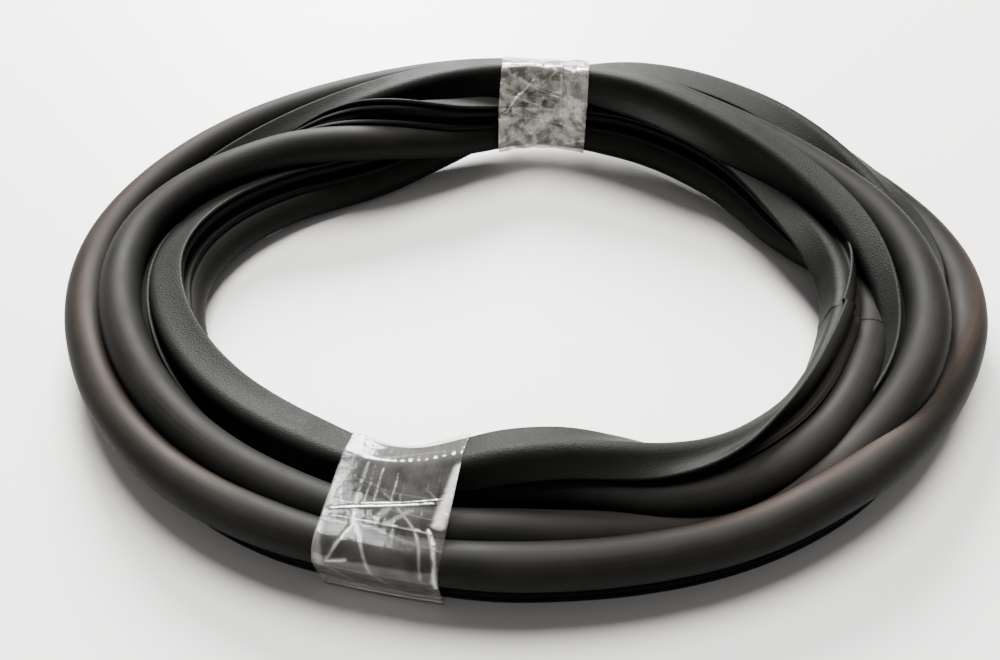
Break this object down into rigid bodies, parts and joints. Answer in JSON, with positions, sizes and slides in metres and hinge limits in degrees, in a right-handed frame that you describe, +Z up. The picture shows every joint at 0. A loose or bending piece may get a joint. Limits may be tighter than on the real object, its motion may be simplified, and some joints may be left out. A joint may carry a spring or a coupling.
{
  "type": "car door seal",
  "caption": "Endless rubber door weatherstrip with a round bulb, a gripping channel and a grained cover lip, coiled and tied with clear tape bands.",
  "frame": {"origin": "middle of the box's underside, on the surface that the coil lies on", "axes": "+X along the coil's long side to the viewer's right, +Y away from the viewer, +Z up through the coil's eye"},
  "size_m": [0.443, 0.3382, 0.0623],
  "materials": {
    "rubber": "matte black EPDM with brown dust stains on the bulb",
    "tape": "clear glossy packing tape, creased"
  },
  "bodies": {
    "root": {"seal": "rubber", "tape_band_back": "tape", "tape_band_front": "tape"}
  },
  "joints": []
}
